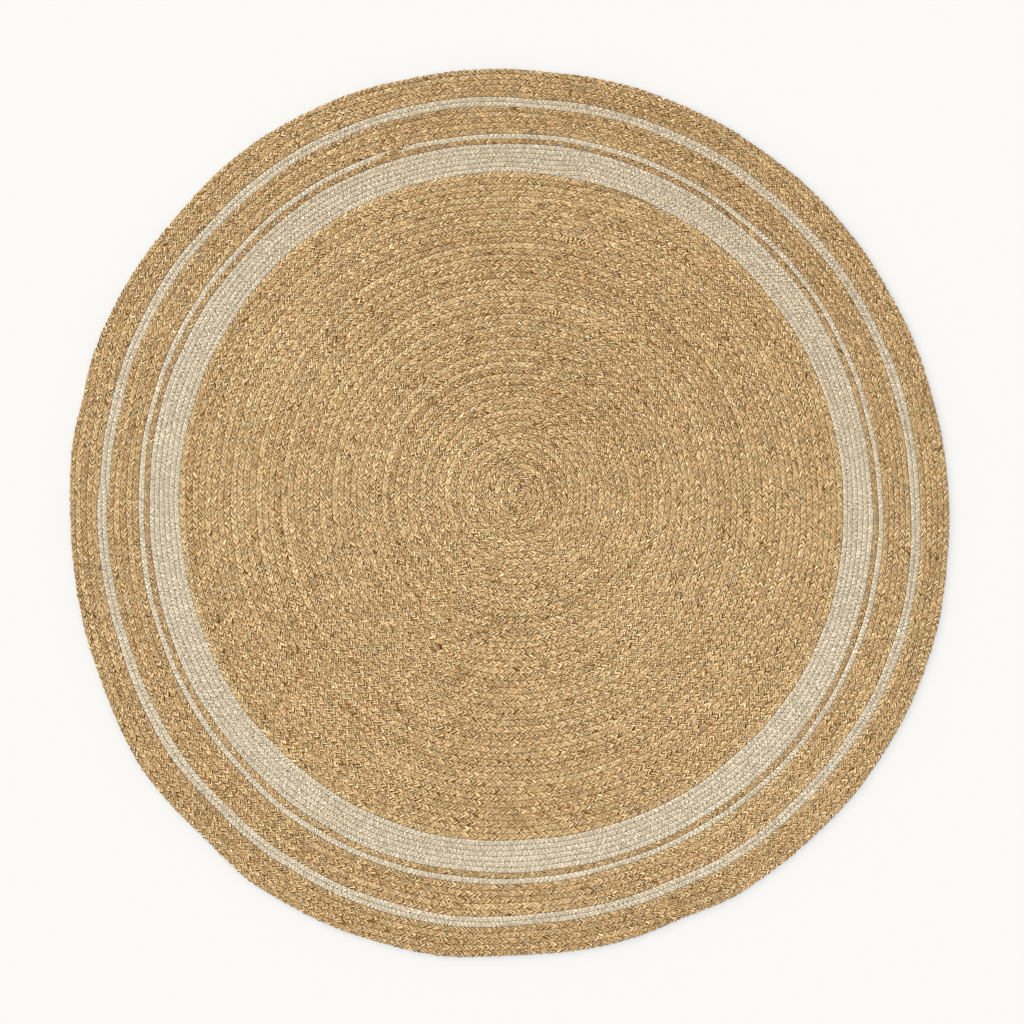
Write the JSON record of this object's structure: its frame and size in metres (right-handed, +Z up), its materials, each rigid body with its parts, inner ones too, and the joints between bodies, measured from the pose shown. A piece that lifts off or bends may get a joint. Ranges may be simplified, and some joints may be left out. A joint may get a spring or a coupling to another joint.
{
  "type": "round jute rug",
  "caption": "Flat round rug of plaited jute coiled as a spiral and sewn round to round, with cream cotton stripes near the rim.",
  "frame": {"origin": "on the floor, under the middle of the rug's box", "axes": "+Z up from the floor, +Y towards the top of the picture, +X to its right"},
  "size_m": [1.4872, 1.501, 0.009],
  "materials": {
    "jute": "matt golden-tan plaited jute with a faint fibre sheen",
    "cotton": "matt cream plaited cotton"
  },
  "bodies": {
    "root": {"jute_field": "jute", "cream_band_wide": "cotton", "jute_round_single": "jute", "cream_round_single": "cotton", "jute_band_middle": "jute", "cream_stripe_double": "cotton", "jute_band_outer": "jute"}
  },
  "joints": []
}
